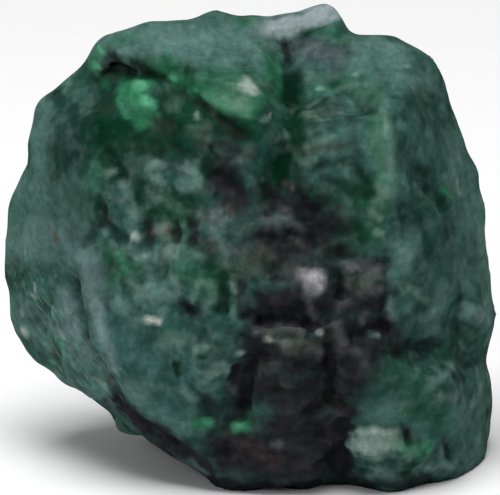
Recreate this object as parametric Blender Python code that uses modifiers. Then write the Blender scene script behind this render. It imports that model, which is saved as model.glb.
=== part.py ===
"""A rough emerald: one cloudy, blocky piece of beryl with dark mica grown into it, about 40 mm across.

The stone is drawn in its front view on a survey grid, one square to GRID metres, with the column counted
from the left and the row from the top. The third number of a survey point is its depth in millimetres, from
the stone's middle plane: less than zero is nearer to the viewer, more is further back.
The front view looks down on the stone by VIEW_TILT, so the finished stone is turned by that much before its
resting face is cut level. The origin is at the middle of the stone's box, on its resting plane.
"""

import math

import bmesh
import bpy
import numpy as np
from mathutils import Matrix, Vector
from mathutils.bvhtree import BVHTree

MM = 0.001
STONE_WIDTH = 0.0397  # across the front view
WIDTH_SQUARES = 496.0
HEIGHT_SQUARES = 492.0
GRID = STONE_WIDTH / WIDTH_SQUARES
MIDDLE_COLUMN = 250.0
MIDDLE_ROW = 247.5
VIEW_TILT = math.radians(15.0)

FRONT_DEPTH = -15.5  # of the raw blocks, in millimetres, before their faces are cleaved
BACK_DEPTH = 16.0
REST_DEPTH = -7.5  # where the resting plane meets the front of the stone
REST_ROW = 490.0

SKIN = 0.32 * MM  # spacing of the skin that fuses the blocks
CORNER_WEAR = 5  # rounds of softening of the cleaved corners
LAST_WEAR = 2
TRIANGLES = 9200

BROAD_LUMPS = (4.5 * MM, 1.3 * MM)  # size and height
SMALL_LUMPS = (2.2 * MM, 0.6 * MM)

BREAKS = 90  # small flat breaks, scattered over the whole stone
BREAK_SEED = 7
SMALLEST_BREAK = 1.4 * MM
LARGEST_BREAK = 3.8 * MM
BREAK_DEPTH = 0.10 * MM
DEEPEST_BREAK = 0.35 * MM
BREAK_TILT = 0.12
BREAK_EDGE = 0.3  # the share of a break's radius over which it fades out
MARK_EDGE = 1.6  # how far a mark's soft edge reaches, in half widths

DEEP_GREEN = (0.035, 0.105, 0.075, 1.0)

BODY_OUTLINE = (
    (98, 60), (140, 48), (200, 40), (262, 34), (290, 38), (320, 32), (352, 36), (375, 36), (402, 32),
    (421, 39), (438, 54), (445, 69), (449, 84), (458, 105), (465, 123), (467, 140), (469, 150),
    (475, 165), (485, 184), (488, 210), (486, 235), (489, 250), (502, 262), (511, 282), (512, 300),
    (507, 318), (499, 334), (493, 344), (491, 356), (488, 370), (494, 379), (497, 396), (499, 415),
    (498, 432), (496, 451), (493, 466), (480, 476), (454, 481), (430, 486), (418, 491), (390, 492),
    (370, 490), (358, 488), (335, 486), (328, 482), (322, 482), (312, 485), (280, 488), (250, 492),
    (240, 493), (222, 489), (210, 482), (203, 479), (197, 468), (190, 466), (180, 459), (170, 450),
    (165, 443), (150, 436), (147, 434), (130, 437), (120, 433), (114, 422), (110, 413), (100, 405),
    (90, 396), (80, 387), (68, 383), (60, 380), (50, 371), (40, 366), (27, 352), (19, 341), (14, 325),
    (14, 312), (12, 292), (3, 278), (-1, 262), (-4, 240), (0, 225), (8, 205), (19, 190), (24, 178),
    (33, 163), (28, 152), (28, 142), (33, 127), (33, 115), (35, 101), (42, 95), (54, 91), (66, 86),
    (75, 80), (82, 72), (88, 68),
)
BODY_FACES = {
    "left side": ((97, 150, -8.5), (95, 260, -9.2), (15, 180, 2.0)),
    "left shoulder": ((42, 94, 2.0), (88, 69, 1.0), (97, 128, -8.0)),
    "left front": ((97, 200, -8.9), (225, 170, -12.4), (225, 330, -12.6)),
    "under the cap": ((100, 150, -8.9), (215, 140, -11.6), (110, 66, -5.5)),
    "middle": ((225, 180, -12.4), (400, 170, -11.2), (300, 340, -12.9)),
    "recess": ((290, 45, -0.5), (330, 45, -0.5), (300, 120, -9.6)),
    "right top": ((345, 100, -10.0), (410, 90, -8.8), (378, 34, 1.5)),
    "right swell": ((350, 140, -11.9), (358, 300, -12.9), (396, 220, -11.3)),
    "right bevel": ((394, 130, -11.1), (398, 330, -11.7), (440, 210, -8.0)),
    "right side": ((436, 130, -7.4), (444, 330, -8.2), (489, 210, 1.0)),
    "right corner": ((402, 95, -8.0), (405, 140, -10.2), (442, 75, 1.0)),
    "right top corner": ((384, 58, -3.6), (418, 108, -8.2), (436, 57, 2.0)),
    "right top edge": ((370, 40, 0.0), (410, 46, 0.4), (385, 62, -4.4)),
    "lower left side": ((87, 262, -9.2), (112, 376, -8.6), (14, 320, 1.5)),
    "lower left front": ((112, 376, -8.6), (188, 450, -8.2), (205, 345, -12.3)),
    "left underside": ((112, 384, -8.6), (190, 456, -8.2), (120, 430, -1.0)),
    "low front": ((230, 400, -12.4), (350, 400, -12.3), (290, 488, -7.8)),
    "low right": ((360, 430, -11.6), (452, 395, -8.6), (430, 482, -6.0)),
    "right foot": ((452, 400, -8.6), (497, 400, 1.0), (477, 470, -1.0)),
    "back": ((150, 150, 8.6), (350, 150, 9.8), (250, 400, 12.6)),
    "back low": ((130, 350, 12.0), (400, 360, 12.2), (260, 490, 10.0)),
    "back left": ((2, 240, 3.5), (105, 200, 9.0), (60, 350, 8.0)),
    "back right": ((506, 290, 3.0), (415, 180, 9.0), (430, 400, 11.0)),
    "back top": ((230, 40, 4.6), (370, 40, 5.2), (300, 120, 9.2)),
    "back top left": ((40, 100, 3.6), (150, 50, 4.2), (125, 165, 8.6)),
    "back top right": ((400, 26, 3.6), (466, 125, 3.0), (385, 130, 8.8)),
    "back underside": ((60, 380, 4.0), (150, 430, 5.0), (135, 330, 11.0)),
}

CAP_OUTLINE = (
    (93, 50), (99, 40), (113, 35), (130, 34), (150, 27), (178, 21), (192, 18), (204, 12), (213, 9),
    (222, 7), (233, 5), (246, 6), (259, 9), (277, 22), (288, 42), (286, 60), (286, 92), (275, 116),
    (252, 130), (236, 122), (205, 101), (172, 79), (142, 65), (124, 58), (112, 59), (106, 68),
    (98, 78), (88, 74), (87, 64),
)
CAP_FACES = {
    "cap top": ((112, 50, -5.6), (245, 128, -13.2), (240, 2, 5.0)),
    "cap lip": ((112, 52, -5.4), (245, 128, -12.6), (240, 100, -13.4)),
    "cap corner": ((100, 60, -2.6), (112, 50, -5.0), (93, 45, 0.0)),
    "cap right": ((262, 70, -7.0), (262, 112, -12.2), (290, 80, -5.0)),
    "cap back": ((95, 50, 2.5), (230, 13, 7.0), (150, 70, 8.0)),
}

PLATE_OUTLINE = (
    (250, 14), (265, 12), (283, 9), (300, 8), (318, 2), (327, -3), (337, -1), (343, 12), (347, 22),
    (353, 34), (352, 80), (290, 80), (276, 40),
)
PLATE_FACES = {
    "plate front": ((290, 40, 0.6), (338, 34, 0.2), (322, 4, 3.2)),
    "plate back": ((262, 18, 6.2), (340, 12, 6.8), (310, 60, 8.5)),
}

BACK_STEP_OUTLINE = (
    (205, 120), (262, 96), (330, 112), (372, 170), (352, 262), (330, 330), (248, 352), (196, 300),
    (184, 210),
)
BACK_STEP_FACES = {
    "step face": ((200, 160, 10.6), (350, 160, 11.9), (270, 330, 12.8)),
    "step top": ((210, 130, 9.4), (330, 110, 9.6), (270, 170, 12.4)),
}

# Each block's outline and faces, with the depths between which it lies, in millimetres.
BLOCKS = {
    "body": (BODY_OUTLINE, BODY_FACES, FRONT_DEPTH, BACK_DEPTH),
    "cap": (CAP_OUTLINE, CAP_FACES, FRONT_DEPTH, 5.4),
    "plate": (PLATE_OUTLINE, PLATE_FACES, -1.0, 6.4),
    "back step": (BACK_STEP_OUTLINE, BACK_STEP_FACES, 0.0, BACK_DEPTH),
}

# Worked into the skin afterwards: the line that a mark follows, its half width and height in millimetres.
# Below zero is carved and above zero is raised. A place with no depth is on the face that the viewer sees.
MARKS = {
    "green window": (((136, 86), (148, 104), (138, 118)), 1.5, 0.6),
    "pocket under the cap": (((101, 69), (120, 67)), 1.3, -0.7),
    "green valley": (((291, 66), (288, 110), (286, 165), (272, 195)), 1.7, -1.1),
    "cleft at the top": (((287, 40), (286, 56)), 0.8, -0.9),
    "left pillar": (((262, 118), (268, 160)), 1.2, 0.5),
    "diagonal groove": (((338, 82), (356, 96), (372, 112), (382, 128)), 0.9, -0.6),
    "right ridge": (((382, 108), (386, 150), (388, 200)), 1.5, 0.4),
    "arch": (((304, 166), (322, 158), (344, 157), (360, 170)), 1.1, 0.4),
    "arch hollow": (((310, 184), (330, 176), (352, 190)), 2.0, -0.5),
    "violet hollow": (((228, 150), (226, 192)), 1.9, -1.0),
    "dark hollow": (((296, 208), (316, 238), (300, 262)), 2.4, -0.9),
    "grey knob": (((300, 276), (318, 282)), 1.4, 0.9),
    "right mica hollow": (((340, 290), (368, 318)), 1.8, -0.7),
    "slit": (((256, 322), (282, 319), (312, 327)), 0.9, -0.8),
    "slit lip": (((262, 336), (290, 342), (318, 332)), 0.9, 0.5),
    "standing flake": (((341, 330), (340, 350)), 0.9, 0.6),
    "lower cleft": (((249, 366), (246, 404)), 1.6, -0.8),
    "lower dark valley": (((332, 372), (334, 410), (342, 468)), 1.6, -1.1),
    "left dark pit": (((188, 307), (194, 311)), 0.9, -0.7),
    "small pit": (((176, 365), (179, 372)), 0.8, -0.8),
    "left knob": (((158, 172), (162, 196)), 1.5, 0.9),
    "second knob": (((190, 183), (202, 188)), 1.3, 0.7),
    "third knob": (((134, 222), (134, 242)), 1.0, 0.7),
    "lower knob": (((200, 352), (212, 368)), 1.4, 0.8),
    "side groove": (((104, 204), (97, 226), (85, 248)), 0.9, -0.8),
    "pale rib": (((90, 272), (98, 320), (112, 366)), 1.0, 0.6),
    "rib groove": (((76, 284), (88, 328), (106, 372), (122, 402)), 0.9, -0.8),
    "right notch": (((484, 358), (455, 352), (425, 350), (400, 356)), 1.5, -1.0),
    "right diagonal cleft": (((418, 172), (434, 192), (448, 206)), 1.1, -1.0),
    "right knob": (((472, 312), (488, 320)), 1.6, 0.9),
    "right knob groove": (((462, 306), (460, 330), (470, 344)), 0.9, -0.8),
    "foot step": (((352, 424), (402, 424)), 0.8, -0.6),
    "foot block": (((362, 438), (400, 440)), 1.6, 0.6),
    "foot pit": (((408, 436), (410, 440)), 0.7, -0.7),
    "back furrow": (((150, 90, 10), (165, 200, 12), (140, 320, 11)), 2.2, -1.2),
    "back right furrow": (((392, 150, 12), (384, 280, 12), (340, 390, 12)), 1.9, -1.0),
    "back hollow": (((250, 400, 12), (300, 390, 12)), 3.0, -1.6),
    "back knob": (((110, 230, 9), (120, 270, 9)), 2.4, 1.0),
    "back crack": (((205, 190, 13), (275, 215, 13), (325, 205, 13)), 0.8, -0.6),
    "right flank step": (((484, 216, 5), (468, 262, 6), (486, 326, 5)), 1.3, -0.8),
    "left flank hollow": (((15, 260, 5), (30, 330, 5)), 1.8, -1.0),
    "top furrow": (((150, 20, 4), (230, 16, 6)), 1.0, -0.6),
}


def survey_point(column, row, depth=0.0):
    """A survey point in metres, before the stone is turned to stand: x right, y back, z up."""
    return Vector(((column - MIDDLE_COLUMN) * GRID, depth * MM, (MIDDLE_ROW - row) * GRID))


def clear_scene():
    for obj in list(bpy.data.objects):
        bpy.data.objects.remove(obj)


def named_collection(name):
    collection = bpy.data.collections.new(name)
    bpy.context.scene.collection.children.link(collection)
    return collection


def raw_block(name, outline, near, far):
    """An outline on the grid, filled and extruded between two depths."""
    curve = bpy.data.curves.new(name + " outline", "CURVE")
    curve.dimensions = "2D"
    curve.fill_mode = "BOTH"
    curve.extrude = (far - near) / 2 * MM
    spline = curve.splines.new("POLY")
    spline.points.add(len(outline) - 1)
    for point, (column, row) in zip(spline.points, outline):
        place = survey_point(column, row)
        point.co = (place.x, place.z, 0.0, 1.0)
    spline.use_cyclic_u = True
    guide = bpy.data.objects.new(name + " guide", curve)
    bpy.context.collection.objects.link(guide)
    graph = bpy.context.evaluated_depsgraph_get()
    mesh = bpy.data.meshes.new_from_object(guide.evaluated_get(graph))
    upright = Matrix.Rotation(math.radians(90.0), 4, "X")
    middle = Matrix.Translation((0.0, (far + near) / 2 * MM, 0.0))
    mesh.transform(middle @ upright)
    bpy.data.objects.remove(guide)
    bpy.data.curves.remove(curve)
    return mesh


def cleave(block, corners):
    """Splits the block along the plane through three survey points and drops its outer side."""
    a, b, c = (survey_point(*corner) for corner in corners)
    normal = (b - a).cross(c - a).normalized()
    if normal.dot(a) < 0.0:
        normal = -normal
    everything = block.verts[:] + block.edges[:] + block.faces[:]
    cut = bmesh.ops.bisect_plane(block, geom=everything, plane_co=a, plane_no=normal, clear_outer=True)
    rim = [edge for edge in cut["geom_cut"] if isinstance(edge, bmesh.types.BMEdge)]
    bmesh.ops.triangle_fill(block, use_beauty=True, use_dissolve=False, edges=rim, normal=normal)


def cleaved_block(name, outline, faces, near, far):
    mesh = raw_block(name, outline, near, far)
    block = bmesh.new()
    block.from_mesh(mesh)
    bmesh.ops.remove_doubles(block, verts=block.verts, dist=0.01 * MM)
    for corners in faces.values():
        cleave(block, corners)
    bmesh.ops.triangulate(block, faces=block.faces)
    bmesh.ops.recalc_face_normals(block, faces=block.faces)
    block.to_mesh(mesh)
    block.free()
    return mesh


def fused_stone(blocks):
    """All the blocks under one closed skin, with their corners a little worn."""
    together = bmesh.new()
    for block in blocks:
        together.from_mesh(block)
        bpy.data.meshes.remove(block)
    mesh = bpy.data.meshes.new("emerald")
    together.to_mesh(mesh)
    together.free()
    stone = bpy.data.objects.new("emerald", mesh)
    named_collection("rough emerald").objects.link(stone)
    clean_skin(stone, "skin")
    soften(stone, "worn corners", CORNER_WEAR)
    return stone


def apply_modifiers(stone):
    graph = bpy.context.evaluated_depsgraph_get()
    mesh = bpy.data.meshes.new_from_object(stone.evaluated_get(graph))
    stone.modifiers.clear()
    old = stone.data
    stone.data = mesh
    bpy.data.meshes.remove(old)


def read_skin(mesh):
    """The places and outward directions of the mesh's points."""
    points = np.empty(len(mesh.vertices) * 3)
    normals = np.empty(len(mesh.vertices) * 3, np.float32)
    mesh.vertices.foreach_get("co", points)
    mesh.vertices.foreach_get("normal", normals)
    return points.reshape(-1, 3), normals.reshape(-1, 3).astype(float)


def write_skin(mesh, points):
    mesh.vertices.foreach_set("co", points.ravel())
    mesh.update()


def on_skin(tree, column, row, depth=None):
    """Where a survey place meets the skin: straight back from the viewer, or nearest if it has a depth."""
    if depth is None:
        return tree.ray_cast(survey_point(column, row, 4 * FRONT_DEPTH), Vector((0.0, 1.0, 0.0)))[0]
    return tree.find_nearest(survey_point(column, row, depth))[0]


def distance_to_line(points, line):
    """Each point's distance to the nearest stretch of a line of places."""
    nearest = np.full(len(points), np.inf)
    for start, end in zip(line[:-1], line[1:]):
        along = end - start
        share = np.clip((points - start) @ along / max(along @ along, 1e-18), 0.0, 1.0)
        nearest = np.minimum(nearest, np.linalg.norm(points - start - share[:, None] * along, axis=1))
    return nearest


def work_marks(stone, marks):
    """Carves and raises each mark along the skin's own normals, with a soft edge."""
    mesh = stone.data
    mesh.calc_loop_triangles()
    triangles = [tuple(triangle.vertices) for triangle in mesh.loop_triangles]
    tree = BVHTree.FromPolygons([vertex.co for vertex in mesh.vertices], triangles)
    for places, half_width, height in marks.values():
        points, normals = read_skin(mesh)
        line = [on_skin(tree, *place) for place in places]
        line = np.array([place for place in line if place is not None])
        share = np.clip(1.0 - distance_to_line(points, line) / (half_width * MM * MARK_EDGE), 0.0, 1.0)
        weight = share * share * (3.0 - 2.0 * share)
        write_skin(mesh, points + normals * (weight * height * MM)[:, None])


def flat_breaks(stone):
    """Small flat faces where corners and lumps have broken away, scattered with a fixed seed."""
    mesh = stone.data
    points, normals = read_skin(mesh)
    rng = np.random.default_rng(BREAK_SEED)
    for index in rng.choice(len(points), BREAKS, replace=False):
        radius = rng.uniform(SMALLEST_BREAK, LARGEST_BREAK)
        distance = np.linalg.norm(points - points[index], axis=1)
        near = distance < radius
        outward = normals[near].mean(axis=0) + rng.normal(0.0, BREAK_TILT, 3)
        outward /= np.linalg.norm(outward)
        above = (points[near] - points[index]) @ outward + BREAK_DEPTH
        hold = np.clip((1.0 - distance[near] / radius) / BREAK_EDGE, 0.0, 1.0)
        points[near] -= outward * (np.clip(above, 0.0, DEEPEST_BREAK) * hold)[:, None]
    write_skin(mesh, points)


def clean_skin(stone, name):
    modifier = stone.modifiers.new(name, "REMESH")
    modifier.mode = "VOXEL"
    modifier.voxel_size = SKIN


def soften(stone, name, rounds):
    modifier = stone.modifiers.new(name, "SMOOTH")
    modifier.factor = 0.5
    modifier.iterations = rounds


def lumps(stone, name, size, height):
    texture = bpy.data.textures.new(name, "CLOUDS")
    texture.noise_scale = size
    texture.noise_depth = 3
    modifier = stone.modifiers.new(name, "DISPLACE")
    modifier.texture = texture
    modifier.texture_coords = "LOCAL"
    modifier.strength = height
    modifier.mid_level = 0.5


def full_size(stone):
    """Stretches the worn stone back to the width and height of its survey."""
    points, _ = read_skin(stone.data)
    low, high = points.min(axis=0), points.max(axis=0)
    wide, tall = STONE_WIDTH / (high[0] - low[0]), HEIGHT_SQUARES * GRID / (high[2] - low[2])
    middle = (low + high) / 2 * (1.0, 0.0, 1.0)
    write_skin(stone.data, (points - middle) * (wide, 1.0, tall))


def stand_up(stone):
    """Turns the stone as it stands, cuts its resting face level and puts the origin under its middle."""
    mesh = stone.data
    mesh.transform(Matrix.Rotation(-VIEW_TILT, 4, "X"))
    rest = Matrix.Rotation(-VIEW_TILT, 4, "X") @ survey_point(MIDDLE_COLUMN, REST_ROW, REST_DEPTH)
    block = bmesh.new()
    block.from_mesh(mesh)
    everything = block.verts[:] + block.edges[:] + block.faces[:]
    cut = bmesh.ops.bisect_plane(
        block, geom=everything, plane_co=rest, plane_no=(0.0, 0.0, -1.0), clear_outer=True
    )
    rim = [edge for edge in cut["geom_cut"] if isinstance(edge, bmesh.types.BMEdge)]
    bmesh.ops.holes_fill(block, edges=rim)
    bmesh.ops.triangulate(block, faces=block.faces)
    bmesh.ops.recalc_face_normals(block, faces=block.faces)
    block.to_mesh(mesh)
    block.free()
    corners = np.empty(len(mesh.vertices) * 3)
    mesh.vertices.foreach_get("co", corners)
    corners = corners.reshape(-1, 3)
    low, high = corners.min(axis=0), corners.max(axis=0)
    middle = (low + high) / 2
    mesh.transform(Matrix.Translation((-middle[0], -middle[1], -low[2])))


def beryl():
    material = bpy.data.materials.new("cloudy emerald")
    material.use_nodes = True
    shader = material.node_tree.nodes["Principled BSDF"]
    shader.inputs["Base Color"].default_value = DEEP_GREEN
    shader.inputs["Roughness"].default_value = 0.45
    shader.inputs["Metallic"].default_value = 0.0
    material.diffuse_color = DEEP_GREEN
    return material


def main():
    clear_scene()
    stone = fused_stone([cleaved_block(name, *shape) for name, shape in BLOCKS.items()])
    apply_modifiers(stone)
    lumps(stone, "broad lumps", *BROAD_LUMPS)
    apply_modifiers(stone)
    flat_breaks(stone)
    work_marks(stone, MARKS)
    lumps(stone, "small lumps", *SMALL_LUMPS)
    clean_skin(stone, "last skin")
    soften(stone, "soft edges", LAST_WEAR)
    apply_modifiers(stone)
    full_size(stone)
    thin = stone.modifiers.new("fewer faces", "DECIMATE")
    thin.ratio = TRIANGLES / (2 * len(stone.data.polygons))
    apply_modifiers(stone)
    stand_up(stone)
    stone.data.materials.append(beryl())


main()
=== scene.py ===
"""A rough emerald on a pale floor: one broken block of cloudy green beryl with dark mica grown into it.

The stone keeps the form of its CAD solid. Here it gets its fine skin: melted facets, small breaks,
furrows, flakes and grains, and the frosted, mossy, glassy and mica-dark patches of its surface.
"""

import math

import bpy
import numpy as np
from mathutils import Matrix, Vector, kdtree, noise
from mathutils.bvhtree import BVHTree


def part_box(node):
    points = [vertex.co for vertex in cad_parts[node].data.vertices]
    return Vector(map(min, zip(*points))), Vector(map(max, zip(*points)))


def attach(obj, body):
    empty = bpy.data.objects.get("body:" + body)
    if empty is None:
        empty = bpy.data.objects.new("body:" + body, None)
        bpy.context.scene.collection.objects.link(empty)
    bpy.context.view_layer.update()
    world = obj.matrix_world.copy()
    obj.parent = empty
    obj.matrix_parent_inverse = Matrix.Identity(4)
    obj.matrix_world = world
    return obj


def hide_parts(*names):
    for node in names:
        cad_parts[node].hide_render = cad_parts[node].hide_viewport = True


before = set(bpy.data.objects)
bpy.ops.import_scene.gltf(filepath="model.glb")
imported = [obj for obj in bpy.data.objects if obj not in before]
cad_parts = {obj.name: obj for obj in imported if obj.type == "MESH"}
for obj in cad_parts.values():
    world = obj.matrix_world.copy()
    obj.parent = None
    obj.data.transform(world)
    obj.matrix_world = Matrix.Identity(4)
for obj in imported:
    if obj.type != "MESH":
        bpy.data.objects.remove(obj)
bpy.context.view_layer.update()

# Camera: a close view of the stone's front from a little above, through a long lens. It is moved and
# zoomed until the stone reaches as near to the edges of the picture as it does in the photograph.
PICTURE_WIDTH, PICTURE_HEIGHT = 500, 495
STONE_COLUMNS = (3.0, 497.0)
STONE_ROWS = (2.0, 493.0)
VIEW_RISE = math.radians(15.0)
VIEW_DISTANCE = 0.45
NEAREST_SEEN = 0.01
FRAMING_ROUNDS = 6

view_right = Vector((1.0, 0.0, 0.0))
view_up = Vector((0.0, math.sin(VIEW_RISE), math.cos(VIEW_RISE)))
view_back = Vector((0.0, -math.cos(VIEW_RISE), math.sin(VIEW_RISE)))

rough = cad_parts["emerald"]
corners = np.array([vertex.co for vertex in rough.data.vertices])
aim = Vector(corners.min(axis=0) + corners.max(axis=0)) / 2
for _ in range(FRAMING_ROUNDS):
    eye = aim + view_back * VIEW_DISTANCE
    from_eye = corners - np.array(eye)
    ahead = -from_eye @ np.array(view_back)
    across = from_eye @ np.array(view_right) / ahead
    upward = from_eye @ np.array(view_up) / ahead
    lens_pixels = (STONE_COLUMNS[1] - STONE_COLUMNS[0]) / (across.max() - across.min())
    middle_column = sum(STONE_COLUMNS) / 2 - PICTURE_WIDTH / 2
    middle_row = PICTURE_HEIGHT / 2 - sum(STONE_ROWS) / 2
    aim += view_right * ((across.max() + across.min()) / 2 - middle_column / lens_pixels) * VIEW_DISTANCE
    aim += view_up * ((upward.max() + upward.min()) / 2 - middle_row / lens_pixels) * VIEW_DISTANCE
eye = aim + view_back * VIEW_DISTANCE
bpy.ops.object.camera_add(location=eye, rotation=view_back.to_track_quat("Z", "Y").to_euler())
camera = bpy.context.active_object
camera.data.lens = camera.data.sensor_width * lens_pixels / PICTURE_WIDTH
camera.data.clip_start = NEAREST_SEEN
bpy.context.scene.camera = camera


def picture_ray(column, row):
    """The direction in which the camera sees a place of the photograph."""
    sideways = view_right * ((column - PICTURE_WIDTH / 2) / lens_pixels)
    upwards = view_up * ((PICTURE_HEIGHT / 2 - row) / lens_pixels)
    return (sideways + upwards - view_back).normalized()


# The stone's body: beryl that grew as one block and was broken out of mica schist. A copy of the solid is
# given a fine even skin, which is laid back onto the solid, and its facets are melted into the smooth,
# slightly wavy faces of broken beryl.
MM = 0.001
SAME_CORNER = 0.001 * MM
SKIN_SPACING = 0.248 * MM
FACET_MELTING, MELTING_PULL = 6, 0.5

bpy.ops.object.select_all(action="DESELECT")
rough.select_set(True)
bpy.context.view_layer.objects.active = rough
bpy.ops.object.duplicate()
stone = bpy.context.active_object
stone.name = "emerald_stone"
stone.parent = None
for label in list(stone.keys()):
    del stone[label]
stone.data.materials.clear()
bpy.ops.object.mode_set(mode="EDIT")
bpy.ops.mesh.select_all(action="SELECT")
bpy.ops.mesh.remove_doubles(threshold=SAME_CORNER)
bpy.ops.object.mode_set(mode="OBJECT")
skin = stone.modifiers.new("skin", "REMESH")
skin.mode = "VOXEL"
skin.voxel_size = SKIN_SPACING
bpy.ops.object.modifier_apply(modifier=skin.name)
wrap = stone.modifiers.new("back onto the solid", "SHRINKWRAP")
wrap.target = rough
wrap.wrap_method = "NEAREST_SURFACEPOINT"
bpy.ops.object.modifier_apply(modifier=wrap.name)
melting = stone.modifiers.new("melting", "SMOOTH")
melting.factor = MELTING_PULL
melting.iterations = FACET_MELTING
bpy.ops.object.modifier_apply(modifier=melting.name)


def read_skin(what="co"):
    """The place or the normal of every point of the skin."""
    values = np.empty(len(stone.data.vertices) * 3, np.float32)
    stone.data.vertices.foreach_get(what, values)
    return values.reshape(-1, 3).astype(float)


def move_skin(points):
    stone.data.vertices.foreach_set("co", points.astype(np.float32).ravel())
    stone.data.update()


edges = np.empty(len(stone.data.edges) * 2, np.int64)
stone.data.edges.foreach_get("vertices", edges)
edges = edges.reshape(-1, 2)


def smoothed(points, rounds):
    """The points after each is drawn halfway to its neighbours' middle, this many times."""
    counts = np.bincount(edges.ravel(), minlength=len(points))[:, None]
    for _ in range(rounds):
        total = np.empty_like(points)
        for axis in range(3):
            total[:, axis] = np.bincount(edges[:, 0], points[edges[:, 1], axis], len(points))
            total[:, axis] += np.bincount(edges[:, 1], points[edges[:, 0], axis], len(points))
        points = 0.5 * points + 0.5 * total / counts
    return points


NOISE_TO_FULL = 1.6
SEED_STEPS = (7.3, 3.1, 5.7)
STREAK_SHARE = 0.86


def cloud(points, size, seed):
    """Smooth noise of about -1 to 1 at each point, with lumps of the given size in millimetres."""
    shift = Vector([seed * step for step in SEED_STEPS])
    heights = [noise.noise(Vector(place) + shift) for place in points / (size * MM)]
    return np.array(heights) * NOISE_TO_FULL


def streaks(points, along, width, seed):
    """The same noise drawn out into long streaks along one direction."""
    along = np.array(along) / np.linalg.norm(along)
    return cloud(points - np.outer(points @ along, along) * STREAK_SHARE, width, seed)


def soft_step(values, low, high):
    """Values spread smoothly from 0 at the low edge to 1 at the high edge."""
    share = np.clip((values - low) / (high - low), 0.0, 1.0)
    return share * share * (3.0 - 2.0 * share)


# Strokes: a patch of mineral, a furrow or a ledge is a line of places read from the photograph, with a
# half width in picture squares. It is laid on the skin as the camera sees it, or on the far side behind
# it, and its edge wanders, as the edge of a grown patch does.
square = VIEW_DISTANCE / lens_pixels
STROKE_STEP = 3.0
DEPTH_SHARE = 0.2
SHORTEST_SQUARED = 1e-18
COVER_REACH, FURROW_REACH, FURROW_SLOPE, LOOKED_AT = 1.3, 1.5, 1.3, 2.5
WIDE_WAVER, WIDEST_WAVER, WIDE_SHARE = 1.3, 0.30 * MM, 0.26
FINE_WAVER, FINEST_WAVER, FINE_SHARE = 0.5, 0.10 * MM, 0.15
away = np.array(view_back)


def flattened(places):
    """Places with their depth along the view cut down, so that a stroke keeps its pictured width."""
    return places - np.outer(places @ away, away) * (1.0 - DEPTH_SHARE)


points = read_skin()
quads = [tuple(face.vertices) for face in stone.data.polygons]
seen_skin = BVHTree.FromPolygons([Vector(place) for place in points], quads)
flat_points = flattened(points)
wide_waver = np.stack([cloud(points, WIDE_WAVER, seed) for seed in (21, 22, 23)], axis=1)
fine_waver = np.stack([cloud(points, FINE_WAVER, seed) for seed in (24, 25, 26)], axis=1)


def on_stone(column, row, side):
    """The spot of the front or the far side that lies at a place of the photograph."""
    ray = picture_ray(column, row)
    if side == "front":
        return seen_skin.ray_cast(eye, ray)[0]
    return seen_skin.ray_cast(eye + ray * 2 * VIEW_DISTANCE, -ray)[0]


def stroke_distance(places, half_width, side="front"):
    """Each point's distance to a stroke laid on the skin, in half widths of the stroke."""
    line = []
    for (column, row), (next_column, next_row) in zip(places, places[1:] or places):
        steps = max(1, round(math.hypot(next_column - column, next_row - row) / STROKE_STEP))
        for step in range(steps + 1):
            share = step / steps
            part_column = column + (next_column - column) * share
            spot = on_stone(part_column, row + (next_row - row) * share, side)
            if spot is not None:
                line.append(np.array(spot))
    line = list(flattened(np.array(line)))
    reach = half_width * square
    middle = np.mean(line, axis=0)
    spread = max(np.linalg.norm(spot - middle) for spot in line)
    close = np.linalg.norm(flat_points - middle, axis=1) < spread + LOOKED_AT * reach
    waver = wide_waver[close] * min(WIDEST_WAVER, WIDE_SHARE * reach)
    waver += fine_waver[close] * min(FINEST_WAVER, FINE_SHARE * reach)
    wandering = flat_points[close] + waver
    nearest = np.full(len(wandering), np.inf)
    for start, end in zip(line, line[1:] or line):
        along = end - start
        length_squared = max(along @ along, SHORTEST_SQUARED)
        share = np.clip((wandering - start) @ along / length_squared, 0.0, 1.0)
        beside = wandering - start - share[:, None] * along
        nearest = np.minimum(nearest, np.linalg.norm(beside, axis=1))
    distance = np.full(len(points), np.inf)
    distance[close] = nearest / reach
    return distance


def covered(strokes, side="front", softness=0.7):
    """How fully each point is covered by any of the strokes, from 0 to 1."""
    cover = np.zeros(len(points))
    for places, half_width, strength in strokes:
        distance = stroke_distance(places, half_width, side)
        cover = np.maximum(cover, soft_step(COVER_REACH - distance, 0.0, softness) * strength)
    return cover


# Zones of the skin: where mica schist clings to the beryl, where the beryl is knobbly, ribbed along its
# length or scaly, and the narrow pockets whose folded walls are evened. The rest broke in plain faces.
MICA_STROKES = (
    (((270, 205), (290, 212)), 14, 0.8), (((300, 205), (325, 235), (300, 250)), 26, 1.0),
    (((262, 226), (292, 228)), 14, 0.8), (((275, 262), (330, 258), (372, 274)), 26, 1.0),
    (((268, 300), (320, 300), (372, 300)), 30, 1.0), (((264, 332), (320, 338), (378, 338)), 28, 1.0),
    (((262, 372), (300, 372), (345, 362)), 28, 1.0), (((236, 376), (236, 412)), 14, 0.9),
    (((262, 404), (330, 404)), 28, 1.0), (((222, 450), (270, 460), (326, 456)), 30, 1.0),
    (((320, 430), (338, 430), (338, 470)), 16, 1.0), (((226, 150), (226, 200)), 13, 0.8),
    (((234, 262), (240, 300)), 10, 0.6), (((130, 414), (152, 432), (176, 446), (204, 466)), 10, 0.8),
)
MICA_BEHIND = (
    (((250, 300), (320, 330), (360, 350)), 34, 1.0), (((300, 200), (330, 240)), 22, 0.8),
    (((140, 160), (150, 200)), 16, 0.7), (((420, 250), (430, 300)), 16, 0.7),
    (((200, 410), (260, 420)), 24, 0.9),
)
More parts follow.
